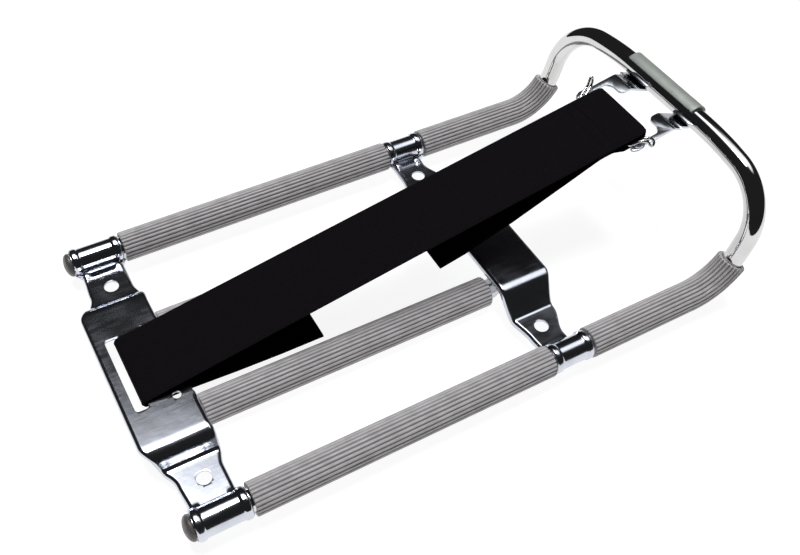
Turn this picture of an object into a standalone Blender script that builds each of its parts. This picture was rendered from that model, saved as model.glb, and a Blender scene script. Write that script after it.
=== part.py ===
# Luggage rack: a chrome wire-and-plate carrier with ribbed grips and an elastic hold-down strap.
# Metres, +Z up, +X towards the raised front loop, +Y to the left.
# The design frame has its zero height on the rail axes; the whole rack is then lifted
# so that its origin is the bottom centre of its bounding box.
import math

import bmesh
import bpy
from mathutils import Matrix, Vector

MM = 0.001

# Driving dimensions
GAP = 0.3 * MM                    # clearance between parts that touch
TUBE_RADIUS = 6.35 * MM           # half-inch tube
TUBE_WALL = 1.2 * MM
RAIL_Y = 95.2 * MM                # rail axes, either side of the middle
RAIL_REAR_X = -120.3 * MM
BEND_START_X = 194.0 * MM         # where the rails start to turn up
BEND_RADIUS = 32.0 * MM
BEND_ANGLE = math.radians(77.2)
RISER_LENGTH = 8.2 * MM           # straight run between the bend and the loop corner
CORNER_RADIUS = 35.6 * MM
CORNER_TURN = math.radians(80.5)  # the rest of the right angle is a slow sweep to the straight middle
CROSS_STRAIGHT_HALF = 30.5 * MM

SHEET = 1.4 * MM                  # pressed plate thickness
SLEEVE_RADIUS = 9.25 * MM
SLEEVE_BORE = TUBE_RADIUS + GAP + 0.1 * MM
SLEEVE_RIBS = 24
RIB_HEIGHT = 0.7 * MM
REAR_SLEEVE_X = (-89.6 * MM, 91.4 * MM)
FRONT_SLEEVE_X = 118.9 * MM
FRONT_SLEEVE_ANGLE = math.radians(63.0)

INNER_Y = 31.75 * MM              # inner bars share the rails' pitch
INNER_Z = -5.7 * MM
INNER_SLEEVE_X = (-90.0 * MM, 88.0 * MM)

CURL_INNER = TUBE_RADIUS + GAP
CURL_OUTER = CURL_INNER + SHEET
BEAD_HEIGHT = 0.7 * MM            # raised rings at both ends of each curl
BEAD_WIDTH = 4.2 * MM
BEAD_ROOT = 0.5 * MM
EAR_TOP_Z = -3.0 * MM
BOLT_HOLE_RADIUS = 4.25 * MM
BOLT_HOLE_Y = 71.2 * MM

REAR_EDGE_X = -129.0 * MM         # the rear plateau's edge is the rack's rearmost point
REAR_PLATEAU_TOP = 7.0 * MM
REAR_CREASE_Y = 58.5 * MM
REAR_SHOULDER_Y = 52.0 * MM
REAR_CURL_X = (-120.3 * MM, -91.0 * MM)
REAR_BOLT_X = -105.0 * MM
SLOT_X = (-122.8 * MM, -115.3 * MM)
SLOT_HALF = 25.75 * MM

MIDDLE_PLATEAU_TOP = 10.5 * MM
MIDDLE_CREASE_Y = 60.0 * MM
MIDDLE_SHOULDER_Y = 46.5 * MM
MIDDLE_CURL_X = (92.3 * MM, 118.0 * MM)
MIDDLE_BOLT_X = 104.3 * MM

CAP_RADIUS = 7.1 * MM
CAP_TIP_X = -125.0 * MM

STRAP_Y = 0.8 * MM                # the strap and its fork sit a little to the left
FORK_Y = 1.7 * MM
STRAP_WIDTH = 47.0 * MM
STRAP_THICK = 1.6 * MM
STRAP_SLOPE = 0.194
HINGE_X = -113.0 * MM
HINGE_Z = 8.8 * MM                # middle of the webbing where it leaves the slot
FOLD_X = 203.0 * MM               # front edge of the fold

FORK_CREASE_X = 218.0 * MM
FORK_CREASE_Z = 69.1 * MM
FORK_SLOPE = 0.214
FORK_HALF = 28.8 * MM
FORK_CURL_Y = 4.5 * MM            # the curl is wrapped a little askew of the arms
FORK_CURL_HALF = 29.6 * MM
FORK_WINDOW_HALF = 13.0 * MM
PRONG_INNER = 25.6 * MM

HOOK_X = 190.0 * MM
HOOK_WIRE_RADIUS = 0.9 * MM
HOOK_STRAND_HALF = 1.35           # millimetres, like the eye's own points
HOOK_DEPTH = 3.3 * MM             # from the middle of the webbing down to the wire in the fold

ARC_STEP = math.radians(15.0)
SCREW_STEPS = 24
WELD = 0.00002


# ---------------------------------------------------------------- scene and materials

def clear_scene():
    for obj in list(bpy.data.objects):
        bpy.data.objects.remove(obj, do_unlink=True)


def new_collection(name):
    collection = bpy.data.collections.new(name)
    bpy.context.scene.collection.children.link(collection)
    return collection


def material(name, colour, roughness, metallic):
    made = bpy.data.materials.new(name)
    made.use_nodes = True
    shader = made.node_tree.nodes["Principled BSDF"]
    shader.inputs["Base Color"].default_value = (*colour, 1.0)
    shader.inputs["Roughness"].default_value = roughness
    shader.inputs["Metallic"].default_value = metallic
    return made


def place(obj, collection, parent=None):
    collection.objects.link(obj)
    obj.parent = parent
    return obj


def as_mesh(curve_obj, name, fill_ends=False):
    """The curve's shape as a welded mesh object; the curve itself is removed."""
    bpy.context.view_layer.update()
    graph = bpy.context.evaluated_depsgraph_get()
    mesh = bpy.data.meshes.new_from_object(curve_obj.evaluated_get(graph))
    work = bmesh.new()
    work.from_mesh(mesh)
    bmesh.ops.remove_doubles(work, verts=work.verts, dist=WELD)
    if fill_ends:
        bmesh.ops.holes_fill(work, edges=work.edges)
        bmesh.ops.recalc_face_normals(work, faces=work.faces)
    work.to_mesh(mesh)
    work.free()
    matrix = curve_obj.matrix_world.copy()
    bpy.data.objects.remove(curve_obj, do_unlink=True)
    made = bpy.data.objects.new(name, mesh)
    made.matrix_world = matrix
    return made


def smooth(obj, angle=30.0):
    obj.data.shade_smooth()
    obj.data.set_sharp_from_angle(angle=math.radians(angle))


# ---------------------------------------------------------------- outlines

def arc(centre, radius, start, end):
    """Points of an arc, both ends included, about ARC_STEP apart."""
    steps = max(2, math.ceil(abs(end - start) / ARC_STEP))
    points = []
    for i in range(steps + 1):
        angle = start + (end - start) * i / steps
        points.append((centre[0] + radius * math.cos(angle), centre[1] + radius * math.sin(angle)))
    return points


def rounded(corners, closed=False):
    """Turns (u, v, radius) corners into points, each corner with a radius becoming an arc."""
    count = len(corners)
    points = []
    for i, (u, v, radius) in enumerate(corners):
        here = Vector((u, v))
        open_end = not closed and i in (0, count - 1)
        if radius <= 0 or open_end:
            points.append((u, v))
            continue
        back = Vector(corners[i - 1][:2]) - here
        ahead = Vector(corners[(i + 1) % count][:2]) - here
        half = back.angle(ahead) / 2
        reach = min(radius / math.tan(half), 0.49 * back.length, 0.49 * ahead.length)
        true_radius = reach * math.tan(half)
        middle = (back.normalized() + ahead.normalized()).normalized()
        centre = here + middle * (true_radius / math.sin(half))
        first = here + back.normalized() * reach - centre
        last = here + ahead.normalized() * reach - centre
        start = math.atan2(first.y, first.x)
        turn = math.atan2(first.x * last.y - first.y * last.x, first.dot(last))
        points.extend(arc(centre, true_radius, start, start + turn))
    return points


def thick_line(points, thickness):
    """A closed outline: the open line widened by half the thickness to each side."""
    left = []
    right = []
    for i, point in enumerate(points):
        before = Vector(points[max(i - 1, 0)])
        after = Vector(points[min(i + 1, len(points) - 1)])
        here = Vector(point)
        first = (here - before) if i > 0 else (after - here)
        second = (after - here) if i < len(points) - 1 else first
        normal_a = Vector((-first.y, first.x)).normalized()
        normal_b = Vector((-second.y, second.x)).normalized()
        normal = (normal_a + normal_b).normalized()
        reach = thickness / 2 / max(normal.dot(normal_a), 0.5)
        left.append(tuple(here + normal * reach))
        right.append(tuple(here - normal * reach))
    return left + right[::-1]


def circle(centre, radius, sides=24):
    return [
        (centre[0] + radius * math.cos(math.tau * i / sides), centre[1] + radius * math.sin(math.tau * i / sides))
        for i in range(sides)
    ]


def prism(name, outlines, depth, rotation=(0.0, 0.0, 0.0), location=(0.0, 0.0, 0.0)):
    """A solid from closed outlines in the local XY plane; inner outlines are holes."""
    curve = bpy.data.curves.new(name, "CURVE")
    curve.dimensions = "2D"
    curve.fill_mode = "BOTH"
    curve.extrude = depth / 2
    for outline in outlines:
        spline = curve.splines.new("POLY")
        spline.points.add(len(outline) - 1)
        for point, (u, v) in zip(spline.points, outline):
            point.co = (u, v, 0.0, 1.0)
        spline.use_cyclic_u = True
    obj = bpy.data.objects.new(name, curve)
    bpy.context.scene.collection.objects.link(obj)
    obj.rotation_euler = rotation
    obj.location = location
    return as_mesh(obj, name)


# Local XY plane laid into the world's YZ plane or XZ plane
ACROSS = (math.pi / 2, 0.0, math.pi / 2)
ALONG = (math.pi / 2, 0.0, 0.0)


def swept(name, path, radius, sides_extra=4, caps=True, cyclic=False, profile=None):
    """A round (or profiled) bar along a path, as a mesh."""
    curve = bpy.data.curves.new(name, "CURVE")
    curve.dimensions = "3D"
    curve.twist_mode = "Z_UP"
    curve.use_fill_caps = caps and profile is None
    if profile is None:
        curve.bevel_depth = radius
        curve.bevel_resolution = sides_extra
    else:
        curve.bevel_mode = "OBJECT"
        curve.bevel_object = profile
    spline = curve.splines.new("POLY")
    spline.points.add(len(path) - 1)
    for point, place_at in zip(spline.points, path):
        point.co = (*place_at, 1.0)
    spline.use_cyclic_u = cyclic
    obj = bpy.data.objects.new(name, curve)
    bpy.context.scene.collection.objects.link(obj)
    return as_mesh(obj, name, fill_ends=profile is not None)


def combine(target, tool, operation):
    modifier = target.modifiers.new(operation.title(), "BOOLEAN")
    modifier.operation = operation
    modifier.solver = "EXACT"
    modifier.object = tool


def guide(obj, parent):
    """Puts a cutter out of sight in the cutters' collection."""
    place(obj, bpy.data.collections["cutters"], parent)
    obj.hide_render = True
    obj.display_type = "WIRE"
    return obj


# ---------------------------------------------------------------- frame tube and sleeves

def rail_path(side, start_x, end_angle, overrun=0.0):
    """A rail's axis from start_x, through its upward bend, to the given bend angle."""
    y = side * RAIL_Y
    points = [Vector((start_x - overrun, y, 0.0))]
    if end_angle is None:
        return points
    steps = max(2, math.ceil(end_angle / math.radians(8.0)))
    for i in range(steps + 1):
        angle = end_angle * i / steps
        x = BEND_START_X + BEND_RADIUS * math.sin(angle)
        z = BEND_RADIUS * (1 - math.cos(angle))
        points.append(Vector((x, y, z)))
    heading = Vector((math.cos(end_angle), 0.0, math.sin(end_angle)))
    if overrun > 0:
        points.append(points[-1] + heading * overrun)
    return points


def loop_half(side):
    """From a rail's rear end, up the bend, round the corner, to the middle of the cross tube."""
    heading = Vector((math.cos(BEND_ANGLE), 0.0, math.sin(BEND_ANGLE)))
    inward = Vector((0.0, -side, 0.0))
    points = rail_path(side, RAIL_REAR_X, BEND_ANGLE)
    start = points[-1] + heading * RISER_LENGTH
    points.extend(turned(start, heading, inward, CORNER_RADIUS, 0.0, CORNER_TURN, 9))
    sweep = math.pi / 2 - CORNER_TURN
    left = abs(points[-1].y) - CROSS_STRAIGHT_HALF
    points.extend(turned(points[-1], heading, inward, left / math.sin(sweep), CORNER_TURN, math.pi / 2, 3)[1:])
    points.append(Vector((points[-1].x, 0.0, points[-1].z)))
    return points


def turned(start, heading, inward, radius, first, last, steps):
    """Points of an arc that turns from heading towards inward, between two angles."""
    points = []
    for i in range(steps + 1):
        angle = first + (last - first) * i / steps
        ahead = radius * (math.sin(angle) - math.sin(first))
        across = radius * (math.cos(first) - math.cos(angle))
        points.append(start + heading * ahead + inward * across)
    return points


def cross_tube_middle():
    return loop_half(1)[-1]


def frame_tube(origin, collection, chrome):
    half = loop_half(1)
    other = [Vector((p.x, -p.y, p.z)) for p in reversed(half[:-1])]
    tube = swept("frame_tube", half + other, TUBE_RADIUS, sides_extra=6, caps=False)
    place(tube, collection, origin)
    wall = tube.modifiers.new("Wall", "SOLIDIFY")
    wall.thickness = TUBE_WALL
    wall.offset = -1.0
    smooth(tube)
    tube.data.materials.append(chrome)
    return tube


def rib_profile():
    """The sleeve's fluted outline: a ridge and a groove for each rib."""
    curve = bpy.data.curves.new("rib_profile", "CURVE")
    curve.dimensions = "2D"
    spline = curve.splines.new("POLY")
    count = SLEEVE_RIBS * 2
    spline.points.add(count - 1)
    for i, point in enumerate(spline.points):
        radius = SLEEVE_RADIUS - (RIB_HEIGHT if i % 2 else 0.0)
        angle = math.tau * i / count
        point.co = (radius * math.cos(angle), radius * math.sin(angle), 0.0, 1.0)
    spline.use_cyclic_u = True
    return bpy.data.objects.new("rib_profile", curve)


def sleeve(name, path, long_path, origin, collection, grip, profile):
    body = swept(name, path, 0.0, profile=profile)
    place(body, collection, origin)
    bore = guide(swept(name + "_bore", long_path, SLEEVE_BORE, sides_extra=6), origin)
    combine(body, bore, "DIFFERENCE")
    smooth(body)
    body.data.materials.append(grip)
    return body


def straight(x_range, y, z, overrun=0.0):
    return [Vector((x_range[0] - overrun, y, z)), Vector((x_range[1] + overrun, y, z))]


def sleeves(origin, collection, grip):
    profile = rib_profile()
    bpy.data.collections["cutters"].objects.link(profile)
    profile.hide_render = True
    profile.display_type = "WIRE"
    extra = 2 * MM
    for side, word in ((1, "left"), (-1, "right")):
        y = side * RAIL_Y
        sleeve(
            "rear_sleeve_" + word, straight(REAR_SLEEVE_X, y, 0.0), straight(REAR_SLEEVE_X, y, 0.0, extra),
            origin, collection, grip, profile,
        )
        sleeve(
            "front_sleeve_" + word, rail_path(side, FRONT_SLEEVE_X, FRONT_SLEEVE_ANGLE),
            rail_path(side, FRONT_SLEEVE_X, FRONT_SLEEVE_ANGLE, extra),
            origin, collection, grip, profile,
        )
        y = side * INNER_Y
        sleeve(
            "inner_sleeve_" + word, straight(INNER_SLEEVE_X, y, INNER_Z),
            straight(INNER_SLEEVE_X, y, INNER_Z, extra),
            origin, collection, grip, profile,
        )


def inner_bars(origin, collection, chrome):
    """Round bars whose ends are flattened and cranked up to lie under the two brackets."""
    rear_top = REAR_PLATEAU_TOP - SHEET - GAP
    middle_top = MIDDLE_PLATEAU_TOP - SHEET - GAP
    tab = 3.0 * MM
    round_size = 2 * TUBE_RADIUS
    # (x, height of the section's middle, section height) from the rear tab to the front tab
    stations = (
        (-112.5 * MM, rear_top - tab / 2, tab),
        (-105.0 * MM, rear_top - tab / 2, tab),
        (-99.5 * MM, (rear_top + INNER_Z) / 2 - 1.0 * MM, 6.5 * MM),
        (-93.0 * MM, INNER_Z, round_size),
        (93.0 * MM, INNER_Z, round_size),
        (100.5 * MM, (middle_top + INNER_Z) / 2 - 1.0 * MM, 6.5 * MM),
        (108.0 * MM, middle_top - tab / 2, tab),
        (117.0 * MM, middle_top - tab / 2, tab),
    )
    sides = 16
    for side, word in ((1, "left"), (-1, "right")):
        work = bmesh.new()
        rings = []
        for x, z, height in stations:
            ring = []
            for i in range(sides):
                angle = math.tau * (i + 0.5) / sides
                y = side * INNER_Y + TUBE_RADIUS * math.cos(angle)
                ring.append(work.verts.new((x, y, z + height / 2 * math.sin(angle))))
            rings.append(ring)
        for first, second in zip(rings, rings[1:]):
            for i in range(sides):
                j = (i + 1) % sides
                work.faces.new((first[i], second[i], second[j], first[j]))
        work.faces.new(rings[0])
        work.faces.new(rings[-1][::-1])
        bmesh.ops.recalc_face_normals(work, faces=work.faces)
        mesh = bpy.data.meshes.new("inner_bar_" + word)
        work.to_mesh(mesh)
        work.free()
        bar = place(bpy.data.objects.new("inner_bar_" + word, mesh), collection, origin)
        smooth(bar, 40.0)
        mesh.materials.append(chrome)


# ---------------------------------------------------------------- brackets

def bracket_section(plateau_top, crease_y, shoulder_y):
    """Half of the sheet's middle line across the rack, from the middle out and round the rail."""
    plateau_z = plateau_top - SHEET / 2
    ear_z = EAR_TOP_Z - SHEET / 2
    curl = (CURL_INNER + CURL_OUTER) / 2
    # the curl starts where the ear meets the rail's inner flank and runs up and over it
    start = math.pi + math.asin(-ear_z / curl)
    flank_y = RAIL_Y - curl * math.cos(math.asin(ear_z / curl))
    line = rounded([
        (0.0, plateau_z, 0.0),
        (shoulder_y, plateau_z, 5.0 * MM),
        (crease_y, ear_z, 3.0 * MM),
        (flank_y - 1.6 * MM, ear_z, 0.0),
    ])
    line.extend(arc((RAIL_Y, 0.0), curl, start - math.radians(8.0), math.radians(-70.0)))
    return line


def bracket(name, section, plan, curl_x, origin, collection, chrome):
    """The bent sheet, trimmed to its plan outline, with raised rings on its curls."""
    half = section
    whole = [(-y, z) for y, z in reversed(half[1:])] + half
    length = 60 * MM
    middle_x = sum(curl_x) / 2
    sheet = prism(name, [thick_line(whole, SHEET)], length, ACROSS, (middle_x, 0.0, 0.0))
    place(sheet, collection, origin)
    trim = guide(prism(name + "_plan", plan, 80 * MM), origin)
    combine(sheet, trim, "INTERSECT")
    for side, word in ((1, "left"), (-1, "right")):
        inset = BEAD_WIDTH / 2 + 0.4 * MM
        for x in (curl_x[0] + inset, curl_x[1] - inset):
            # each ring is sunk into the curl by BEAD_ROOT and stands proud of it by BEAD_HEIGHT
            radius = CURL_OUTER + (BEAD_HEIGHT - BEAD_ROOT) / 2
            ring = arc((0.0, 0.0), radius, math.radians(160.0), math.radians(-60.0))
            ring = [(side * y, z) for y, z in ring]
            outline = thick_line(ring, BEAD_HEIGHT + BEAD_ROOT)
            bead = prism(name + "_bead_" + word, [outline], BEAD_WIDTH, ACROSS, (x, side * RAIL_Y, 0.0))
            guide(bead, origin)
            combine(sheet, bead, "UNION")
    smooth(sheet)
    sheet.data.materials.append(chrome)
    return sheet


def mirrored_plan(half):
    """A closed plan outline from its left half, listed from front middle to rear middle."""
    return [(x, y) for x, y in half] + [(x, -y) for x, y in reversed(half)]


def rear_bracket(origin, collection, chrome):
    curl_out = RAIL_Y + CURL_OUTER + 1 * MM
    curl_in = RAIL_Y - CURL_OUTER + 1 * MM
    half = rounded([
        (-91.6 * MM, 0.5 * MM, 0.0),
        (-91.6 * MM, 47.0 * MM, 6 * MM),
        (-90.8 * MM, 56.0 * MM, 8 * MM),
        (-93.6 * MM, 66.0 * MM, 12 * MM),
        (-93.6 * MM, curl_in - 2 * MM, 1.5 * MM),
        (REAR_CURL_X[1], curl_in, 0.5 * MM),
        (REAR_CURL_X[1], curl_out, 0.0),
        (REAR_CURL_X[0], curl_out, 0.0),
        (REAR_CURL_X[0], curl_in, 0.5 * MM),
        (-117.4 * MM, curl_in - 2 * MM, 1.5 * MM),
        (-118.4 * MM, 67.0 * MM, 12 * MM),
        (-123.5 * MM, 58.5 * MM, 10 * MM),
        (REAR_EDGE_X, 50.0 * MM, 6 * MM),
        (REAR_EDGE_X, 0.5 * MM, 0.0),
    ])
    slot = rounded([
        (SLOT_X[0], -SLOT_HALF, 2 * MM),
        (SLOT_X[1], -SLOT_HALF, 2 * MM),
        (SLOT_X[1], SLOT_HALF, 2 * MM),
        (SLOT_X[0], SLOT_HALF, 2 * MM),
    ], closed=True)
    holes = [circle((REAR_BOLT_X, side * BOLT_HOLE_Y), BOLT_HOLE_RADIUS) for side in (1, -1)]
    pilot = [circle((-100.2 * MM, side * 24.7 * MM), 2.4 * MM, 16) for side in (1, -1)]
    section = bracket_section(REAR_PLATEAU_TOP, REAR_CREASE_Y, REAR_SHOULDER_Y)
    plan = [mirrored_plan(half), slot, *holes, *pilot]
    bracket("rear_bracket", section, plan, REAR_CURL_X, origin, collection, chrome)


def middle_bracket(origin, collection, chrome):
    curl_out = RAIL_Y + CURL_OUTER + 1 * MM
    curl_in = RAIL_Y - CURL_OUTER + 1 * MM
    half = rounded([
        (125.0 * MM, 0.5 * MM, 0.0),
        (125.0 * MM, 45.0 * MM, 8 * MM),
        (120.2 * MM, 60.0 * MM, 14 * MM),
        (113.6 * MM, 78.0 * MM, 12 * MM),
        (114.0 * MM, curl_in - 2 * MM, 1.5 * MM),
        (MIDDLE_CURL_X[1], curl_in, 0.5 * MM),
        (MIDDLE_CURL_X[1], curl_out, 0.0),
        (MIDDLE_CURL_X[0], curl_out, 0.0),
        (MIDDLE_CURL_X[0], curl_in, 0.5 * MM),
        (95.0 * MM, curl_in - 2 * MM, 1.5 * MM),
        (94.6 * MM, 76.0 * MM, 12 * MM),
        (91.3 * MM, 58.0 * MM, 12 * MM),
        (91.3 * MM, 0.5 * MM, 0.0),
    ])
    holes = [circle((MIDDLE_BOLT_X, side * BOLT_HOLE_Y), BOLT_HOLE_RADIUS) for side in (1, -1)]
    section = bracket_section(MIDDLE_PLATEAU_TOP, MIDDLE_CREASE_Y, MIDDLE_SHOULDER_Y)
    bracket("middle_bracket", section, [mirrored_plan(half), *holes], MIDDLE_CURL_X, origin, collection, chrome)


# ---------------------------------------------------------------- end caps

def end_caps(origin, collection, plastic):
    """Domed plugs: a turned profile about local Z, which points out of the tube's rear end."""
    flange_x = REAR_CURL_X[0] - GAP
    dome = flange_x - CAP_TIP_X
    stem_radius = TUBE_RADIUS - TUBE_WALL - 0.4 * MM
    stem = 11 * MM
    profile = [(0.0, dome)]
    for i in range(1, 7):
        angle = math.pi / 2 * (1 - i / 6)
        profile.append((CAP_RADIUS * math.cos(angle), 0.8 * MM + (dome - 0.8 * MM) * math.sin(angle)))
    profile += [(CAP_RADIUS, 0.0), (stem_radius, 0.0), (stem_radius, 1 * MM - stem)]
    profile += [(stem_radius - 1 * MM, -stem), (0.0, -stem)]
    for side, word in ((1, "left"), (-1, "right")):
        name = "end_cap_" + word
        work = bmesh.new()
        points = [work.verts.new((radius, 0.0, height)) for radius, height in profile]
        for first, second in zip(points, points[1:]):
            work.edges.new((first, second))
        mesh = bpy.data.meshes.new(name)
        work.to_mesh(mesh)
        work.free()
        cap = place(bpy.data.objects.new(name, mesh), collection, origin)
        cap.location = (flange_x, side * RAIL_Y, 0.0)
        cap.rotation_euler = (0.0, -math.pi / 2, 0.0)
        turn = cap.modifiers.new("Turn", "SCREW")
        turn.steps = SCREW_STEPS
        turn.render_steps = SCREW_STEPS
        turn.use_merge_vertices = True
        turn.merge_threshold = 0.00001
        mesh.materials.append(plastic)


# ---------------------------------------------------------------- strap, hook and fork

def fork_height(x):
    """Middle of the fork's sheet, which falls towards the rear beside the strap."""
    return FORK_CREASE_Z + FORK_SLOPE * (x - FORK_CREASE_X)


def strap_plate(origin, collection, chrome):
    """A fork whose sheet is curled round the cross tube; the strap's hook catches on its prongs."""
    axis = cross_tube_middle()
    curl = (CURL_INNER + CURL_OUTER) / 2
    leave = math.radians(-113.3)
    line = arc((axis.x, axis.z), curl, math.radians(129.0), leave)
    end_x = 180 * MM
    line += rounded([
        line[-1] + (0.0,),
        (FORK_CREASE_X, FORK_CREASE_Z, 4 * MM),
        (end_x, fork_height(end_x), 0.0),
    ])[1:]
    plate = prism("strap_plate", [thick_line(line, SHEET)], 70 * MM, ALONG, (0.0, FORK_Y, 0.0))
    place(plate, collection, origin)
    front = axis.x + CURL_OUTER + 2 * MM
    arm_front = axis.x - CURL_OUTER - 1.5 * MM
    window_front = axis.x - 11 * MM
    plan = []
    for side in (1, -1):
        curl_half = FORK_CURL_HALF + side * (FORK_CURL_Y - FORK_Y)
        half = rounded([
            (front, 0.5 * MM, 0.0),
            (front, curl_half, 0.0),
            (arm_front, curl_half, 0.8 * MM),
            (arm_front - 1.0 * MM, FORK_HALF, 0.8 * MM),
            (200.5 * MM, FORK_HALF, 1.2 * MM),
            (199.5 * MM, FORK_HALF - 0.5 * MM, 1.0 * MM),
            (197.6 * MM, FORK_HALF - 0.5 * MM, 0.8 * MM),
            (195.8 * MM, FORK_HALF + 0.9 * MM, 1.0 * MM),
            (192.0 * MM, FORK_HALF + 0.9 * MM, 1.5 * MM),
            (188.5 * MM, FORK_HALF - 0.8 * MM, 1.5 * MM),
            (188.5 * MM, PRONG_INNER, 0.8 * MM),
            (208.5 * MM, PRONG_INNER, 3.0 * MM),
            (211.2 * MM, 21.0 * MM, 3.0 * MM),
            (211.2 * MM, FORK_WINDOW_HALF, 3.5 * MM),
            (window_front, FORK_WINDOW_HALF, 1.0 * MM),
            (window_front, 0.5 * MM, 0.0),
        ])
        half = [(x, FORK_Y + side * y) for x, y in half]
        plan += half if side > 0 else half[::-1]
    trim = guide(prism("strap_plate_plan", [plan], 200 * MM), origin)
    combine(plate, trim, "INTERSECT")
    # the window runs on under the tube, below the curl's free edge
    window_section = [
        (window_front - 1 * MM, axis.z + 10 * MM),
        (axis.x - 1 * MM, axis.z),
        (axis.x - 1 * MM, axis.z - 20 * MM),
        (window_front - 1 * MM, axis.z - 20 * MM),
    ]
    window = prism("strap_plate_window", [window_section], 2 * FORK_WINDOW_HALF, ALONG, (0.0, FORK_Y, 0.0))
    combine(plate, guide(window, origin), "DIFFERENCE")
    smooth(plate)
    plate.data.materials.append(chrome)


def strap_height(x):
    """Middle of the webbing along the straight top run."""
    return HINGE_Z + STRAP_SLOPE * (x - HINGE_X)


def webbing(name, line, location, parent, collection, fabric):
    local = [(x - location[0], z - location[2]) for x, z in line]
    band = prism(name, [thick_line(local, STRAP_THICK)], STRAP_WIDTH, ALONG)
    band.matrix_world = Matrix.Rotation(math.pi / 2, 4, "X")
    band.data.transform(band.matrix_world)
    band.matrix_world = Matrix.Identity(4)
    place(band, collection, parent)
    smooth(band)
    band.data.materials.append(fabric)
    return band


def band_line():
    """Top run from the rear slot to the front fold, and the tail that hangs back under it."""
    line = [(HINGE_X + 0.2 * MM, strap_height(HINGE_X + 0.2 * MM)), (40 * MM, strap_height(40 * MM))]
    line += rounded([
        (41 * MM, strap_height(41 * MM), 0.0),
        (FOLD_X, strap_height(FOLD_X), 1.9 * MM),
        (FOLD_X - 0.8 * MM, strap_height(FOLD_X) - 5.6 * MM, 2.4 * MM),
        (HOOK_X - 4 * MM, 60.8 * MM, 5 * MM),
        (177 * MM, strap_height(177 * MM) - 2.0 * MM, 8 * MM),
        (168 * MM, strap_height(168 * MM) - 2.0 * MM, 20 * MM),
        (150 * MM, 53.3 * MM, 60 * MM),
        (110 * MM, 36.0 * MM, 60 * MM),
        (79 * MM, 24.4 * MM, 40 * MM),
        (62.5 * MM, 20.2 * MM, 0.0),
    ])
    return line


def strap(origin, hinge, collection, fabric):
    location = (HINGE_X, STRAP_Y, HINGE_Z)
    webbing("strap_band", band_line(), location, hinge, collection, fabric)
    end = HINGE_X - STRAP_THICK / 2 - GAP - 0.1 * MM
    line = rounded([
        (-12.8 * MM, 1.6 * MM, 0.0),
        (-40 * MM, 1.6 * MM, 60 * MM),
        (-66 * MM, 2.5 * MM, 60 * MM),
        (-92 * MM, 4.1 * MM, 30 * MM),
        (-117.5 * MM, 3.9 * MM, 3.0 * MM),
        (-117.5 * MM, strap_height(-117.5 * MM), 2.4 * MM),
        (end, strap_height(end), 0.0),
    ])
    webbing("strap_rear_loop", line, (0.0, 0.0, 0.0), origin, collection, fabric).location.y = STRAP_Y


def strap_hook(hook_pivot, collection, wire):
    """A closed hairpin: two strands through the fold, one eye over its prong and one upright."""
    pivot = hook_pivot["design_place"]
    low = pivot[2]
    strand = HOOK_STRAND_HALF
    tilt = STRAP_SLOPE * 0.6
    # each half runs from the rear strand round its eye to the front strand: forward, outward, up
    hooked = (
        (-strand, 16.0, 0.0),
        (-strand, 20.5, 0.0),
        (-1.2, 24.2, 0.4),
        (3.6, 27.8, 3.5),
        (7.2, 29.9, 2.9),
        (8.4, 31.2, 0.85),
        (9.9, 31.5, -0.15),
        (11.2, 31.2, 0.95),
        (10.9, 29.8, 2.75),
        (7.6, 27.6, 4.0),
        (2.2, 24.7, 0.7),
        (strand, 20.5, 0.0),
        (strand, 16.0, 0.0),
    )
    upright = (
        (-strand, 16.0, 0.0),
        (-strand, 20.5, 0.0),
        (-1.2, 23.6, 0.4),
        (2.6, 26.4, 2.2),
        (6.4, 28.0, 3.8),
        (7.1, 28.3, 7.2),
        (8.35, 28.4, 9.0),
        (9.6, 28.3, 7.2),
        (9.3, 27.8, 3.6),
        (5.6, 25.6, 1.7),
        (2.2, 23.6, 0.5),
        (strand, 20.5, 0.0),
        (strand, 16.0, 0.0),
    )
    loop = []
    for side, eye in ((1, upright), (-1, hooked)):
        points = [
            (HOOK_X + ahead * MM, side * out * MM, low + (rise + tilt * ahead) * MM)
            for ahead, out, rise in eye
        ]
        loop += points if side > 0 else points[::-1]
    curve = bpy.data.curves.new("strap_hook", "CURVE")
    curve.dimensions = "3D"
    curve.bevel_depth = HOOK_WIRE_RADIUS
    curve.bevel_resolution = 2
    curve.resolution_u = 3
    spline = curve.splines.new("BEZIER")
    spline.bezier_points.add(len(loop) - 1)
    for point, (x, y, z) in zip(spline.bezier_points, loop):
        point.co = (x - pivot[0], y, z - pivot[2])
        point.handle_left_type = "AUTO"
        point.handle_right_type = "AUTO"
    spline.use_cyclic_u = True
    obj = bpy.data.objects.new("strap_hook", curve)
    bpy.context.scene.collection.objects.link(obj)
    hook = as_mesh(obj, "strap_hook")
    place(hook, collection, hook_pivot)
    smooth(hook, 60.0)
    hook.data.materials.append(wire)


def pivot_at(name, place_at, parent, parent_place):
    """An empty on a joint's axis; it remembers its place in the design frame."""
    empty = bpy.data.objects.new(name, None)
    bpy.context.scene.collection.objects.link(empty)
    empty.parent = parent
    empty.location = Vector(place_at) - Vector(parent_place)
    empty["design_place"] = list(place_at)
    return empty


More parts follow.
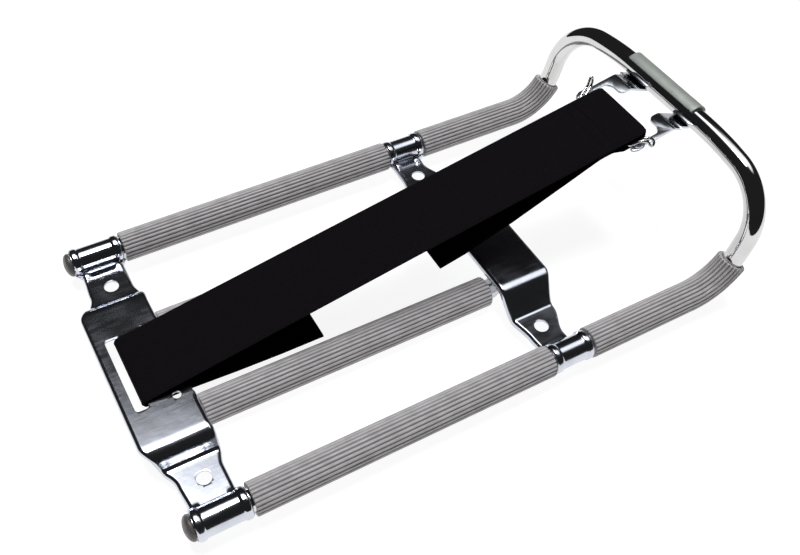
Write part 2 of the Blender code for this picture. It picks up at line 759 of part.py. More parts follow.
def main():
    clear_scene()
    rack = new_collection("luggage_rack")
    new_collection("cutters")
    chrome = material("chrome", (0.62, 0.63, 0.65), 0.12, 1.0)
    pressed = material("pressed_chrome", (0.5, 0.52, 0.56), 0.2, 1.0)
    grip = material("ribbed_grip", (0.26, 0.25, 0.25), 0.6, 0.0)
    plastic = material("cap_plastic", (0.16, 0.15, 0.14), 0.45, 0.0)
    fabric = material("black_webbing", (0.012, 0.011, 0.013), 0.85, 0.0)

    # the origin is the bottom centre of the whole rack's box
    front_x = cross_tube_middle().x + CURL_OUTER
    shift = (-(REAR_EDGE_X + front_x) / 2, 0.0, SLEEVE_RADIUS - INNER_Z)
    origin = pivot_at("rack_origin", shift, None, (0.0, 0.0, 0.0))
    hinge_place = (HINGE_X, STRAP_Y, HINGE_Z)
    hinge = pivot_at("strap_pivot", hinge_place, origin, (0.0, 0.0, 0.0))
    hook_place = (HOOK_X, FORK_Y, strap_height(HOOK_X) - HOOK_DEPTH)
    hook_pivot = pivot_at("hook_pivot", hook_place, hinge, hinge_place)

    frame_tube(origin, rack, chrome)
    sleeves(origin, rack, grip)
    inner_bars(origin, rack, chrome)
    rear_bracket(origin, rack, pressed)
    middle_bracket(origin, rack, pressed)
    end_caps(origin, rack, plastic)
    strap_plate(origin, rack, pressed)
    strap(origin, hinge, rack, fabric)
    strap_hook(hook_pivot, rack, chrome)


main()
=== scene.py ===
# Luggage rack: the looks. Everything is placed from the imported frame; design places are in
# millimetres from the middle of the two rails, as the driving dimensions give them.
import math

import bmesh
import bpy
from mathutils import Matrix, Vector

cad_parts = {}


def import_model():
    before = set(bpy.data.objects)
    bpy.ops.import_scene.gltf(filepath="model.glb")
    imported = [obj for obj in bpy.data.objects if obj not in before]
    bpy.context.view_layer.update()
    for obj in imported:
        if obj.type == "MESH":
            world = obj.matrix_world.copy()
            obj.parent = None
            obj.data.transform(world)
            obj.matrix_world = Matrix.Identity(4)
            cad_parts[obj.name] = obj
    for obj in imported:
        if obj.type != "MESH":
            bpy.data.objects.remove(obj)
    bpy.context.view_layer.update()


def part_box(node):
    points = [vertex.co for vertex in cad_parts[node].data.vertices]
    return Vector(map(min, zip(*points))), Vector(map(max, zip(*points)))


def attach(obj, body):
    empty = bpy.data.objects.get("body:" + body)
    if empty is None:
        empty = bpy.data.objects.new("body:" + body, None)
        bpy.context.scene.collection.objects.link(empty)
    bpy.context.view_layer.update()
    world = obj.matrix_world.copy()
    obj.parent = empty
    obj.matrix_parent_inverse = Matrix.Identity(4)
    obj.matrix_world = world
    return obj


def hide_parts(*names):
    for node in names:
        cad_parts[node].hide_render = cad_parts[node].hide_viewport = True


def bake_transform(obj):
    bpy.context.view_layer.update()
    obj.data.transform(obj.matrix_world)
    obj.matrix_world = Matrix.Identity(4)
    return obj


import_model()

MM = 0.001

# ---------------------------------------------------------------- dimensions, mm
TUBE_RADIUS = 6.35
TUBE_WALL = 1.2
RAIL_Y = 95.2
RAIL_REAR_X = -120.3
BEND_START_X = 194.0
BEND_RADIUS = 32.0
BEND_ANGLE = math.radians(77.2)
RISER_LENGTH = 8.2
CORNER_RADIUS = 35.6
CORNER_TURN = math.radians(80.5)
CROSS_STRAIGHT_HALF = 30.5

SHEET = 1.4
SLEEVE_RADIUS = 9.25
SLEEVE_BORE = 6.75
RIBS = 24
POINTS_PER_RIB = 10
RIB_HEIGHT = 0.75
FRONT_SLEEVE_X = 118.9
FRONT_SLEEVE_ANGLE = math.radians(63.0)
INNER_SLEEVE_REACH = 2.4          # how much further forward than in CAD, towards the middle plate

BAR_SIDE = TUBE_RADIUS - 0.1      # the inner bars keep their width where they are flattened
BAR_FLAT_HALF = 1.45              # half the height of a flattened bar end
BAR_REAR_TAB_Z = 3.8
BAR_FRONT_TAB_Z = 7.3
BAR_REAR_CRANK_X = (-106.0, -92.5)
BAR_FRONT_CRANK_X = (92.5, 109.0)
BAR_END_EASE = 0.3

CAP_RADIUS = 7.1
CAP_RIM_RADIUS = 6.9
CAP_FLANGE_X = -120.6
CAP_STEM_RADIUS = 4.75
CAP_STEM_X = -110.4
CAP_STEM_EASE = 0.6

CURL_INNER = 6.65
CURL_OUTER = CURL_INNER + SHEET
CURL_MIDDLE = (CURL_INNER + CURL_OUTER) / 2
BEAD_HEIGHT = 0.75
BEAD_WIDTH = 4.4
EAR_TOP_Z = -3.0
BOLT_HOLE_RADIUS = 4.25
BOLT_HOLE_Y = 71.2

REAR_TOP_Z = 7.0
REAR_CURL_X = (-120.3, -91.0)
REAR_BOLT_X = -105.0
PILOT_HOLE_X = -100.2
PILOT_HOLE_Y = 24.7
PILOT_HOLE_RADIUS = 2.4
SLOT_X = (-122.8, -115.3)
SLOT_HALF = 25.75
SLOT_CORNER = 2.0

MIDDLE_TOP_Z = 10.5
MIDDLE_CURL_X = (92.3, 118.0)
MIDDLE_BOLT_X = 104.3

STRAP_Y = 0.8
STRAP_WIDTH = 46.8
STRAP_THICK = 1.6
STRAP_SLOPE = 0.194
HINGE_X = -113.0
HINGE_Z = 8.8
FOLD_X = 203.0
FOLD_PULL_LENGTH = 4.5
FOLD_PULL_RIGHT = 1.8
FOLD_PULL_LEFT = 0.7
HOOK_X = 190.0
HOOK_DEPTH = 3.3
HOOK_WIRE_RADIUS = 0.88
HOOK_STRAND = 1.35                # half the distance between the hairpin's strands

FORK_Y = 1.7
FORK_CURL_Y = 4.5
FORK_CREASE_X = 218.0
FORK_CREASE_Z = 69.1
FORK_SLOPE = 0.214
FORK_HALF = 28.8
FORK_CURL_HALF = 29.6
FORK_WINDOW_HALF = 13.0
PRONG_INNER = 25.6
FORK_SATIN_Z = 71.5

# The design frame's zero: the rails' height, and the rear plate's rear edge less its own place
RAIL_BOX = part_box("rear_sleeve_left")
REAR_EDGE_X = -129.0
BASE = Vector((
    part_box("rear_bracket")[0].x - REAR_EDGE_X * MM,
    0.0,
    (RAIL_BOX[0].z + RAIL_BOX[1].z) / 2,
))


def at(x, y, z):
    """A design place in millimetres, as a point of the row frame in metres."""
    return BASE + Vector((x, y, z)) * MM


# ---------------------------------------------------------------- materials

class Shader:
    """A Principled material with a few node helpers; object coordinates throughout."""

    def __init__(self, name, colour, roughness, metallic=0.0):
        self.material = bpy.data.materials.new(name)
        self.material.use_nodes = True
        self.tree = self.material.node_tree
        self.main = self.tree.nodes["Principled BSDF"]
        self.main.inputs["Base Color"].default_value = (*colour, 1.0)
        self.main.inputs["Roughness"].default_value = roughness
        self.main.inputs["Metallic"].default_value = metallic
        self.coordinates = self.node("ShaderNodeTexCoord").outputs["Object"]

    def node(self, kind, **values):
        made = self.tree.nodes.new(kind)
        for key, value in values.items():
            setattr(made, key, value)
        return made

    def link(self, a, b):
        self.tree.links.new(a, b)

    def stretched(self, scale):
        mapping = self.node("ShaderNodeMapping")
        mapping.inputs["Scale"].default_value = scale
        self.link(self.coordinates, mapping.inputs["Vector"])
        return mapping.outputs["Vector"]

    def noise(self, scale, detail=4.0, roughness=0.55, stretch=None):
        made = self.node("ShaderNodeTexNoise")
        made.inputs["Scale"].default_value = scale
        made.inputs["Detail"].default_value = detail
        made.inputs["Roughness"].default_value = roughness
        self.link(self.stretched(stretch) if stretch else self.coordinates, made.inputs["Vector"])
        return made.outputs["Fac"]

    def ranged(self, value, low, high, new_low, new_high):
        made = self.node("ShaderNodeMapRange")
        made.interpolation_type = "SMOOTHSTEP"
        limits = {"From Min": low, "From Max": high, "To Min": new_low, "To Max": new_high}
        for key, number in limits.items():
            made.inputs[key].default_value = number
        self.link(value, made.inputs["Value"])
        return made.outputs["Result"]

    def maths(self, operation, a, b):
        made = self.node("ShaderNodeMath", operation=operation)
        for socket, value in zip(made.inputs, (a, b)):
            if isinstance(value, (int, float)):
                socket.default_value = value
            else:
                self.link(value, socket)
        return made.outputs["Value"]

    def mixed(self, factor, colour_a, colour_b):
        made = self.node("ShaderNodeMix", data_type="RGBA")
        self.link(factor, made.inputs["Factor"])
        for key, colour in (("A", colour_a), ("B", colour_b)):
            socket = next(s for s in made.inputs if s.name == key and s.type == "RGBA")
            if isinstance(colour, tuple):
                socket.default_value = (*colour, 1.0)
            else:
                self.link(colour, socket)
        return next(s for s in made.outputs if s.type == "RGBA")

    def bump(self, height, strength, distance, normal=None):
        made = self.node("ShaderNodeBump")
        made.inputs["Strength"].default_value = strength
        made.inputs["Distance"].default_value = distance
        self.link(height, made.inputs["Height"])
        if normal is not None:
            self.link(normal, made.inputs["Normal"])
        return made.outputs["Normal"]

    def colour(self, socket):
        self.link(socket, self.main.inputs["Base Color"])

    def roughness(self, socket):
        self.link(socket, self.main.inputs["Roughness"])

    def normal(self, socket):
        self.link(socket, self.main.inputs["Normal"])


def chrome_material(name, colour, dull, low, high, pits, wave):
    """Plated steel: clear reflections, softened in patches, with fine pits and hairline scratches."""
    made = Shader(name, colour, low, 1.0)
    patches = made.noise(38.0, 6.0)
    smears = made.noise(420.0, 3.0, stretch=(0.15, 1.0, 1.0))
    blend = made.maths(
        "ADD", made.maths("MULTIPLY", patches, 0.7), made.maths("MULTIPLY", smears, 0.3),
    )
    made.roughness(made.ranged(blend, 0.35, 0.68, low, high))
    made.colour(made.mixed(made.ranged(patches, 0.4, 0.7, 0.0, 1.0), colour, dull))
    ripple = made.bump(made.noise(95.0, 2.0), wave, 0.0006)
    scratches = made.bump(made.noise(2600.0, 2.0, stretch=(0.05, 1.0, 0.6)), pits, 0.00004, ripple)
    made.normal(scratches)
    return made.material


def fork_material():
    """Plated like the cross plates, but left satin on the upper side of its curl."""
    made = Shader("fork_plate_satin_curl", (0.6, 0.62, 0.66), 0.12, 1.0)
    height = made.node("ShaderNodeSeparateXYZ")
    made.link(made.coordinates, height.inputs["Vector"])
    edge = at(0, 0, FORK_SATIN_Z).z
    satin = made.ranged(height.outputs["Z"], edge, edge + 0.001, 0.0, 1.0)
    patches = made.noise(60.0, 5.0)
    blotches = made.ranged(patches, 0.35, 0.7, 0.0, 1.0)
    plated = made.mixed(blotches, (0.60, 0.62, 0.66), (0.48, 0.5, 0.54))
    dull = made.mixed(blotches, (0.40, 0.425, 0.395), (0.34, 0.36, 0.335))
    made.colour(made.mixed(satin, plated, dull))
    clear = made.ranged(patches, 0.3, 0.7, 0.10, 0.2)
    made.roughness(made.maths("ADD", clear, made.maths("MULTIPLY", satin, 0.42)))
    made.link(made.ranged(satin, 0.0, 1.0, 1.0, 0.35), made.main.inputs["Metallic"])
    fine = made.noise(2400.0, 3.0, stretch=(1.0, 0.1, 1.0))
    made.normal(made.bump(fine, 0.25, 0.00004, made.bump(made.noise(70.0, 1.0), 0.05, 0.0006)))
    return made.material


def grip_material():
    """Grey ribbed plastic: a little mottled, with painted shade darkening the grooves."""
    made = Shader("ribbed_grip_grey", (0.4, 0.38, 0.39), 0.5)
    mottle = made.noise(140.0, 5.0)
    groove = made.node("ShaderNodeAttribute", attribute_name="groove").outputs["Fac"]
    spots = made.ranged(mottle, 0.35, 0.7, 0.0, 1.0)
    body = made.mixed(spots, (0.55, 0.525, 0.53), (0.46, 0.44, 0.445))
    # painted shade: the groove share darkens the colour towards (0.13, 0.12, 0.122) in the grooves
    made.colour(made.mixed(made.maths("MULTIPLY", groove, 0.8), body, (0.13, 0.12, 0.122)))
    made.roughness(made.ranged(mottle, 0.3, 0.7, 0.42, 0.62))
    made.normal(made.bump(made.noise(1500.0, 3.0, stretch=(0.25, 1.0, 1.0)), 0.25, 0.0001))
    return made.material


def cap_material():
    made = Shader("cap_plastic_brown_grey", (0.1, 0.088, 0.086), 0.36)
    mottle = made.noise(260.0, 4.0)
    spots = made.ranged(mottle, 0.35, 0.65, 0.0, 1.0)
    made.colour(made.mixed(spots, (0.115, 0.098, 0.096), (0.08, 0.07, 0.069)))
    made.roughness(made.ranged(mottle, 0.3, 0.7, 0.28, 0.42))
    made.normal(made.bump(made.noise(1800.0, 3.0), 0.2, 0.0001))
    return made.material


def webbing_material():
    """Black elastic webbing: fine slanting weft over lengthwise rubber ribs, in the strap's own lengths."""
    made = Shader("black_elastic_webbing", (0.004, 0.004, 0.005), 0.78)
    made.main.inputs["Sheen Weight"].default_value = 0.008
    made.main.inputs["Sheen Roughness"].default_value = 0.45
    made.main.inputs["Specular IOR Level"].default_value = 0.03
    made.coordinates = made.node("ShaderNodeUVMap", uv_map="strap_mm").outputs["UV"]
    weft = made.node("ShaderNodeTexWave", wave_type="BANDS", bands_direction="DIAGONAL")
    weft.inputs["Scale"].default_value = 0.42
    weft.inputs["Distortion"].default_value = 0.8
    weft.inputs["Detail"].default_value = 1.0
    made.link(made.stretched((1.0, 1.4, 1.0)), weft.inputs["Vector"])
    ribs = made.node("ShaderNodeTexWave", wave_type="BANDS", bands_direction="X")
    ribs.inputs["Scale"].default_value = 0.32
    made.link(made.coordinates, ribs.inputs["Vector"])
    fuzz = made.noise(3.0, 5.0)
    weave = made.maths(
        "ADD", made.maths("MULTIPLY", weft.outputs["Fac"], 0.65), made.maths("MULTIPLY", fuzz, 0.35),
    )
    raised = made.ranged(weave, 0.3, 0.8, 0.0, 1.0)
    made.colour(made.mixed(raised, (0.0016, 0.0013, 0.0019), (0.0125, 0.0105, 0.0128)))
    made.roughness(made.ranged(fuzz, 0.3, 0.7, 0.68, 0.9))
    first = made.bump(ribs.outputs["Fac"], 0.35, 0.00015)
    made.normal(made.bump(weave, 0.6, 0.00018, first))
    return made.material


def thread_material():
    made = Shader("black_thread", (0.006, 0.0055, 0.0065), 0.7)
    made.main.inputs["Specular IOR Level"].default_value = 0.1
    twist = made.node("ShaderNodeTexWave", wave_type="BANDS", bands_direction="Y")
    twist.inputs["Scale"].default_value = 900.0
    made.link(made.coordinates, twist.inputs["Vector"])
    made.normal(made.bump(twist.outputs["Fac"], 0.5, 0.0001))
    return made.material


# ---------------------------------------------------------------- mesh helpers

def new_piece(name, vertices, faces, material, body, replaced=(), sharp=None):
    mesh = bpy.data.meshes.new(name)
    mesh.from_pydata([tuple(v) for v in vertices], [], faces)
    mesh.validate()
    mesh.materials.append(material)
    mesh.shade_smooth()
    if sharp is not None:
        mesh.set_sharp_from_angle(angle=math.radians(sharp))
    obj = bpy.data.objects.new(name, mesh)
    bpy.context.scene.collection.objects.link(obj)
    return dress(obj, body, replaced)


def dress(obj, body, replaced=()):
    """The piece rides on its body and stands for its CAD nodes."""
    if body:
        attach(obj, body)
    if replaced:
        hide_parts(*replaced)
    return obj


def arc(centre, radius, start, end, step=math.radians(5.0)):
    steps = max(2, math.ceil(abs(end - start) / step))
    return [
        (
            centre[0] + radius * math.cos(start + (end - start) * i / steps),
            centre[1] + radius * math.sin(start + (end - start) * i / steps),
        )
        for i in range(steps + 1)
    ]


def rounded(corners, closed=False):
    """Turns (u, v, radius) corners into points, each corner with a radius becoming an arc."""
    count = len(corners)
    points = []
    for i, (u, v, radius) in enumerate(corners):
        here = Vector((u, v))
        if radius <= 0 or (not closed and i in (0, count - 1)):
            points.append((u, v))
            continue
        back = Vector(corners[i - 1][:2]) - here
        ahead = Vector(corners[(i + 1) % count][:2]) - here
        half = back.angle(ahead) / 2
        reach = min(radius / math.tan(half), 0.49 * back.length, 0.49 * ahead.length)
        true_radius = reach * math.tan(half)
        middle = (back.normalized() + ahead.normalized()).normalized()
        centre = here + middle * (true_radius / math.sin(half))
        first = here + back.normalized() * reach - centre
        last = here + ahead.normalized() * reach - centre
        start = math.atan2(first.y, first.x)
        turn = math.atan2(first.x * last.y - first.y * last.x, first.dot(last))
        points.extend(arc(centre, true_radius, start, start + turn))
    return points


def resampled(points, spacing):
    """The same open line with its long stretches cut into steps of about the spacing."""
    made = [points[0]]
    for first, second in zip(points, points[1:]):
        a, b = Vector(first), Vector(second)
        steps = max(1, round((b - a).length / spacing))
        for i in range(1, steps + 1):
            made.append(tuple(a.lerp(b, i / steps)))
    return made


def line_normals(points):
    """Unit normals of an open 2D line, to the left of its direction."""
    made = []
    for i in range(len(points)):
        before = Vector(points[max(i - 1, 0)])
        after = Vector(points[min(i + 1, len(points) - 1)])
        along = after - before
        made.append(Vector((-along.y, along.x)).normalized())
    return made


def smooth_step(value, low, high):
    share = min(max((value - low) / (high - low), 0.0), 1.0)
    return share * share * (3 - 2 * share)


def curve_through(knots, value):
    """A smooth line through (place, value) knots, flat beyond its ends."""
    if value <= knots[0][0]:
        return knots[0][1]
    for (a, va), (b, vb) in zip(knots, knots[1:]):
        if value <= b:
            return va + (vb - va) * smooth_step(value, a, b)
    return knots[-1][1]


def frames_along(path):
    """For each point, two unit vectors across the path, carried along without twisting."""
    last = len(path) - 1
    tangents = [
        (path[min(i + 1, last)] - path[max(i - 1, 0)]).normalized() for i in range(len(path))
    ]
    side = Vector((0, 1, 0)) if abs(tangents[0].y) < 0.9 else Vector((1, 0, 0))
    made = []
    for tangent in tangents:
        side = (side - tangent * side.dot(tangent)).normalized()
        made.append((side, tangent.cross(side)))
    return made


def swept_faces(rings, size, offset=0, flip=False):
    """The sides between rings of points, each ring of the same size."""
    faces = []
    for r in range(rings - 1):
        a = offset + r * size
        b = a + size
        for i in range(size):
            j = (i + 1) % size
            face = (a + i, a + j, b + j, b + i)
            faces.append(face[::-1] if flip else face)
    return faces


def end_faces(rings, size, offset=0, flip=False):
    """One flat face over the first ring and one over the last."""
    first = tuple(range(offset, offset + size))
    last = tuple(k + (rings - 1) * size for k in first)
    return [first, last[::-1]] if flip else [first[::-1], last]


def ring_points(path, across, outline_at):
    vertices = []
    for i, (point, (u, v)) in enumerate(zip(path, across)):
        vertices.extend(point + (u * p + v * q) * MM for p, q in outline_at(i))
    return vertices


def round_outline(radius, sides):
    turns = [math.tau * i / sides for i in range(sides)]
    return [(radius * math.cos(turn), radius * math.sin(turn)) for turn in turns]


def hollow_sweep(path, outer_at, bore, size):
    """A tube with an outer outline and a round bore, its two ends closed by flat rings."""
    across = frames_along(path)
    outer = ring_points(path, across, outer_at)
    inner = ring_points(path, across, lambda i: round_outline(bore, size))
    rings = len(path)
    faces = swept_faces(rings, size)
    faces += swept_faces(rings, size, offset=len(outer), flip=True)
    for ring, turn in ((0, False), (rings - 1, True)):
        for i in range(size):
            j = (i + 1) % size
            a, b = ring * size, len(outer) + ring * size
            face = (a + i, b + i, b + j, a + j)
            faces.append(face[::-1] if turn else face)
    return outer + inner, faces


# ---------------------------------------------------------------- tube and sleeves

def turned(start, heading, inward, radius, first, last, steps):
    """A bend from the start, as angles from the heading towards the inward side."""
    points = []
    for i in range(steps + 1):
        angle = first + (last - first) * i / steps
        ahead = radius * (math.sin(angle) - math.sin(first))
        across = radius * (math.cos(first) - math.cos(angle))
        points.append(start + heading * ahead + inward * across)
    return points


def bend_points(y, end_angle, steps):
    made = []
    for i in range(steps + 1):
        angle = end_angle * i / steps
        made.append(Vector((
            BEND_START_X + BEND_RADIUS * math.sin(angle), y, BEND_RADIUS * (1 - math.cos(angle)),
        )))
    return made


def loop_half():
    """The tube's middle line from the left rail's rear end to the middle of the loop."""
    heading = Vector((math.cos(BEND_ANGLE), 0.0, math.sin(BEND_ANGLE)))
    inward = Vector((0.0, -1.0, 0.0))
    points = [Vector((RAIL_REAR_X, RAIL_Y, 0.0)), Vector((RAIL_REAR_X + 0.4, RAIL_Y, 0.0))]
    points += [Vector((BEND_START_X - 0.6, RAIL_Y, 0.0))]
    points += bend_points(RAIL_Y, BEND_ANGLE, 28)
    start = points[-1] + heading * RISER_LENGTH
    points += turned(start, heading, inward, CORNER_RADIUS, 0.0, CORNER_TURN, 30)
    sweep = math.pi / 2 - CORNER_TURN
    slow = (abs(points[-1].y) - CROSS_STRAIGHT_HALF) / math.sin(sweep)
    points += turned(points[-1], heading, inward, slow, CORNER_TURN, math.pi / 2, 8)[1:]
    points.append(Vector((points[-1].x, 0.0, points[-1].z)))
    return points


def cross_middle():
    return loop_half()[-1]


def frame_tube(chrome):
    half = loop_half()
    whole = half + [Vector((p.x, -p.y, p.z)) for p in reversed(half[:-1])]
    path = [at(*p) for p in whole]
    last = len(path) - 1
    sides = 64

    def outline(i):
        return round_outline(TUBE_RADIUS - (0.25 if i in (0, last) else 0.0), sides)

    vertices, faces = hollow_sweep(path, outline, TUBE_RADIUS - TUBE_WALL, sides)
    new_piece("frame_tube_chrome", vertices, faces, chrome, "rack", ["frame_tube"], 50)


def rib_outline(easing):
    """The fluted sleeve: flat-topped ribs with narrow round grooves; also each point's groove share."""
    points = []
    shares = []
    count = RIBS * POINTS_PER_RIB
    for i in range(count):
        phase = (i % POINTS_PER_RIB) / POINTS_PER_RIB
        groove = (0.5 + 0.5 * math.cos(math.tau * phase)) ** 2.2
        angle = math.tau * i / count
        radius = SLEEVE_RADIUS - easing - RIB_HEIGHT * groove * (1.0 if easing == 0 else 0.6)
        points.append((radius * math.cos(angle), radius * math.sin(angle)))
        shares.append(groove)
    return points, shares


def sleeve(name, design_path, material):
    """Stations near both ends are eased inwards, so that the moulded rims are round."""
    tangent_a = (design_path[1] - design_path[0]).normalized()
    tangent_b = (design_path[-1] - design_path[-2]).normalized()
    path = [design_path[0], design_path[0] + tangent_a * 0.15, design_path[0] + tangent_a * 0.5]
    path += design_path[1:-1]
    path += [design_path[-1] - tangent_b * 0.5, design_path[-1] - tangent_b * 0.15, design_path[-1]]
    easing = [0.35, 0.1] + [0.0] * (len(path) - 4) + [0.1, 0.35]
    size = RIBS * POINTS_PER_RIB
    vertices, faces = hollow_sweep(
        [at(*p) for p in path], lambda i: rib_outline(easing[i])[0], SLEEVE_BORE, size,
    )
    obj = new_piece(name + "_ribbed", vertices, faces, material, "rack", [name], 60)
    shares = rib_outline(0.0)[1] * len(path) + [0.0] * (size * len(path))
    # the groove shares also mask the painted shade in the grip material's grooves
    attribute = obj.data.attributes.new("groove", "FLOAT", "POINT")
    attribute.data.foreach_set("value", shares)


def straight(node, y, z):
    low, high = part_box(node)
    return [Vector(((low.x - BASE.x) / MM, y, z)), Vector(((high.x - BASE.x) / MM, y, z))]


def sleeves(grip):
    for side, word in ((1, "left"), (-1, "right")):
        sleeve("rear_sleeve_" + word, straight("rear_sleeve_" + word, side * RAIL_Y, 0.0), grip)
        name = "inner_sleeve_" + word
        low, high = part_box(name)
        y = (low.y + high.y) / 2 / MM
        z = ((low.z + high.z) / 2 - BASE.z) / MM
        rear, front = straight(name, y, z)
        front.x += INNER_SLEEVE_REACH
        sleeve(name, [rear, front], grip)
        path = [Vector((FRONT_SLEEVE_X, side * RAIL_Y, 0.0))]
        path += bend_points(side * RAIL_Y, FRONT_SLEEVE_ANGLE, 24)
        sleeve("front_sleeve_" + word, path, grip)


def inner_bars(chrome):
    """Round bars with their ends flattened and cranked up under the two plates."""
    sides = 48
    for word in ("left", "right"):
        name = "inner_bar_" + word
        low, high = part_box(name)
        sleeve_low, sleeve_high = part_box("inner_sleeve_" + word)
        y = (low.y + high.y) / 2 / MM
        z = ((sleeve_low.z + sleeve_high.z) / 2 - BASE.z) / MM
        rear = (low.x - BASE.x) / MM
        front = (high.x - BASE.x) / MM
        stations = [rear, rear + BAR_END_EASE] + [rear + d for d in range(2, 24)] + [0.0]
        stations += [front - d for d in range(28, 1, -1)] + [front - BAR_END_EASE, front]
        vertices = []
        for x in stations:
            rear_share = 1 - smooth_step(x, *BAR_REAR_CRANK_X)
            front_share = smooth_step(x, *BAR_FRONT_CRANK_X)
            flat = max(rear_share, front_share)
            middle = z + (BAR_REAR_TAB_Z - z) * rear_share + (BAR_FRONT_TAB_Z - z) * front_share
            height = TUBE_RADIUS + (BAR_FLAT_HALF - TUBE_RADIUS) * flat
            trim = BAR_END_EASE if x in (rear, front) else 0.0
            for u, v in round_outline(1.0, sides):
                vertices.append(at(x, y + (BAR_SIDE - trim) * u, middle + (height - trim) * v))
        faces = swept_faces(len(stations), sides) + end_faces(len(stations), sides)
        new_piece(name + "_chrome", vertices, faces, chrome, "rack", [name], 50)


# ---------------------------------------------------------------- pressed plates

EDGE_ROLL = 1.7
EDGE_DROP = 1.3
CURL_END_ANGLE = -70.0
CURL_JOIN_Z = 0.4
FAR_FROM_EDGE = 99.0              # the depth given to points in the middle of the sheet


def bracket_rows(plateau_top, crease_y, shoulder_y):
    """Half of the middle line with, for each point, how far it is into the curl and the bead."""
    plateau_z = plateau_top - SHEET / 2
    ear_z = EAR_TOP_Z - SHEET / 2
    flank_y = RAIL_Y - math.sqrt(CURL_MIDDLE * CURL_MIDDLE - ear_z * ear_z)
    # the last corner only gives the rounding before it its direction
    flat = rounded([
        (0.0, plateau_z, 0.0),
        (shoulder_y, plateau_z, 10.0),
        (crease_y, ear_z, 4.5),
        (flank_y, ear_z, 1.2),
        (flank_y + 0.9, ear_z + 3.2, 0.0),
    ])[:-1]
    start = math.pi + math.asin(-ear_z / CURL_MIDDLE)
    around = arc((RAIL_Y, 0.0), CURL_MIDDLE, start, math.radians(CURL_END_ANGLE))
    rows = []
    for y, z in resampled(flat, 1.4):
        into = smooth_step(y, flank_y - 2.2, flank_y - 0.4)
        bead = smooth_step(y, flank_y - 6.0, flank_y - 1.5)
        rows.append((y, z, into, bead))
    # the curl's rows start above the rounding that joins it to the ear
    rows += [(y, z, 1.0, 1.0) for y, z in around if y >= RAIL_Y or z >= CURL_JOIN_Z]
    return rows


def bracket(name, rows, front_knots, rear_knots, curl_x, roll_at, cutters, material):
    """A sheet over the rows and their mirror, with rolled rims, raised beads and its holes cut."""
    whole = [(-y, z, c, b) for y, z, c, b in reversed(rows[1:])] + rows
    normals = line_normals([(y, z) for y, z, _, _ in whole])
    # columns: the rolled rim, then places across the sheet, then the other rim
    rim = [(-EDGE_ROLL + EDGE_ROLL * math.sin(a), -EDGE_ROLL * (1 - math.cos(a)))
           for a in (math.radians(d) for d in range(10, 91, 10))]
    rim.append((0.0, -EDGE_ROLL - EDGE_DROP))
    inside = [0.0, 0.35, 0.8, 1.3, 1.9, 2.5, 3.1, 3.7, 4.2, 4.7, 5.4]
    vertices = []
    for (y, z, into, bead), normal in zip(whole, normals):
        front = curve_through(front_knots, abs(y)) * (1 - into) + curl_x[1] * into
        rear = curve_through(rear_knots, abs(y)) * (1 - into) + curl_x[0] * into
        row = []
        for sign, edge in ((-1, rear), (1, front)):
            roll = roll_at(sign, y) * (1 - into)
            half = []
            for dx, dn in rim[::-1]:
                half.append((edge + sign * dx, dn * roll))
            for d in inside:
                half.append((edge - sign * (EDGE_ROLL + d), 0.0))
            half = [(x, dn, abs(edge - x)) for x, dn in half]
            row.append(half)
        rear_half, front_half = row
        between = []
        first, last = rear_half[-1][0], front_half[-1][0]
        for i in range(1, 6):
            between.append((first + (last - first) * i / 6, 0.0, FAR_FROM_EDGE))
        for x, dn, depth in rear_half + between + front_half[::-1]:
            fall = smooth_step(depth, BEAD_WIDTH - 0.9, BEAD_WIDTH + 0.3)
            ring = smooth_step(depth, 0.3, 1.5) * (1 - fall)
            lift = dn + BEAD_HEIGHT * ring * bead
            vertices.append(at(x, y + normal.x * lift, z + normal.y * lift))
    columns = len(vertices) // len(whole)
    faces = []
    for r in range(len(whole) - 1):
        for c in range(columns - 1):
            a = r * columns + c
            faces.append((a, a + 1, a + columns + 1, a + columns))
    obj = new_piece(name + "_plate", vertices, faces, material, "rack", [name])
    thick = obj.modifiers.new("Sheet", "SOLIDIFY")
    thick.thickness = SHEET * MM
    thick.offset = 0.0
    cut = obj.modifiers.new("Holes", "BOOLEAN")
    cut.operation = "DIFFERENCE"
    cut.object = cutters
    ease = obj.modifiers.new("Edges", "BEVEL")
    ease.width = 0.3 * MM
    ease.segments = 3
    ease.limit_method = "ANGLE"
    ease.angle_limit = math.radians(50.0)
    finished(obj)


def finished(obj, sharp=45.0):
    """Applies the modifiers and keeps only the mesh."""
    graph = bpy.context.evaluated_depsgraph_get()
    mesh = bpy.data.meshes.new_from_object(obj.evaluated_get(graph))
    obj.modifiers.clear()
    obj.data = mesh
    mesh.shade_smooth()
    mesh.set_sharp_from_angle(angle=math.radians(sharp))


def prism_object(name, outlines, depth, rotation=(0.0, 0.0, 0.0), middle=(0.0, 0.0, 0.0)):
    """A solid from closed outlines in the local XY plane (mm), as a mesh object in the row frame."""
    curve = bpy.data.curves.new(name, "CURVE")
    curve.dimensions = "2D"
    curve.fill_mode = "BOTH"
    curve.extrude = depth * MM / 2
    for outline in outlines:
        spline = curve.splines.new("POLY")
        spline.points.add(len(outline) - 1)
        for point, (u, v) in zip(spline.points, outline):
            point.co = (u * MM, v * MM, 0.0, 1.0)
        spline.use_cyclic_u = True
    obj = bpy.data.objects.new(name, curve)
    bpy.context.scene.collection.objects.link(obj)
    bpy.context.view_layer.update()
    graph = bpy.context.evaluated_depsgraph_get()
    mesh = bpy.data.meshes.new_from_object(obj.evaluated_get(graph))
    work = bmesh.new()
    work.from_mesh(mesh)
    bmesh.ops.remove_doubles(work, verts=work.verts, dist=0.000005)
    work.to_mesh(mesh)
    work.free()
    bpy.data.objects.remove(obj, do_unlink=True)
    turn = Matrix.Rotation(rotation[2], 4, "Z") @ Matrix.Rotation(rotation[0], 4, "X")
    mesh.transform(Matrix.Translation(at(*middle)) @ turn)
    made = bpy.data.objects.new(name, mesh)
    bpy.context.scene.collection.objects.link(made)
    return made


